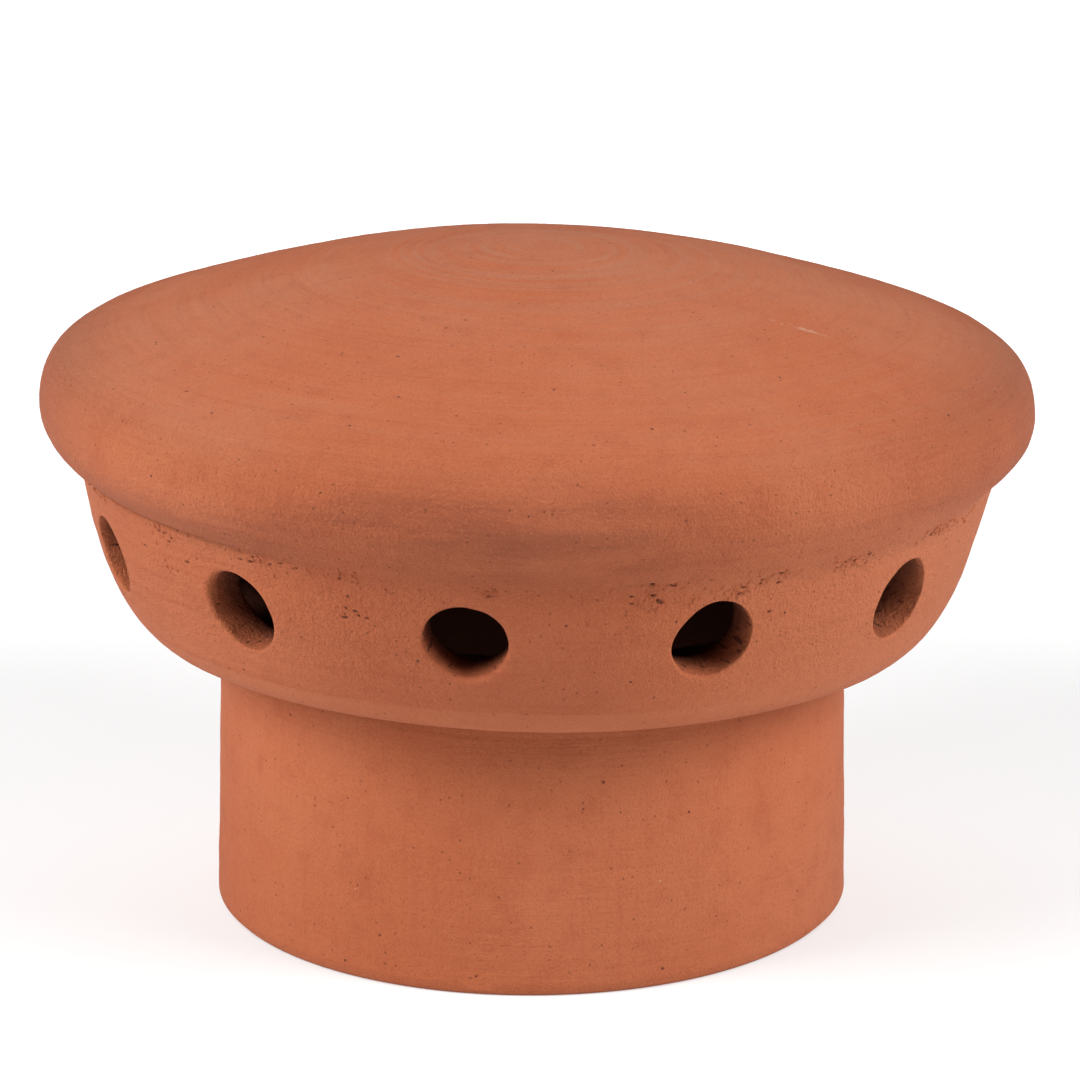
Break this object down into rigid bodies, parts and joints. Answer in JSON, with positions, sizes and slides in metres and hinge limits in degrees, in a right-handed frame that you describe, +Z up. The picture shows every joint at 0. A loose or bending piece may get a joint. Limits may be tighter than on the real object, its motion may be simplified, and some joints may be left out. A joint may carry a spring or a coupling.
{
  "type": "flue terminal",
  "caption": "Hand-thrown terracotta flue terminal: hollow spigot, bowl-shaped chamber with a ring of round vents, and a domed cap with a bullnose rim.",
  "frame": {"origin": "centre of the spigot's foot, on the surface that the terminal stands on", "axes": "+Z up out of the flue, one vent faces -Y, and the head leans slightly towards +X"},
  "size_m": [0.307, 0.307, 0.207],
  "materials": {
    "terracotta": "unglazed matte terracotta, turned, with sandy drag marks, pits and pale scuffs"
  },
  "bodies": {
    "root": {"flue_terminal": "terracotta"}
  },
  "joints": []
}
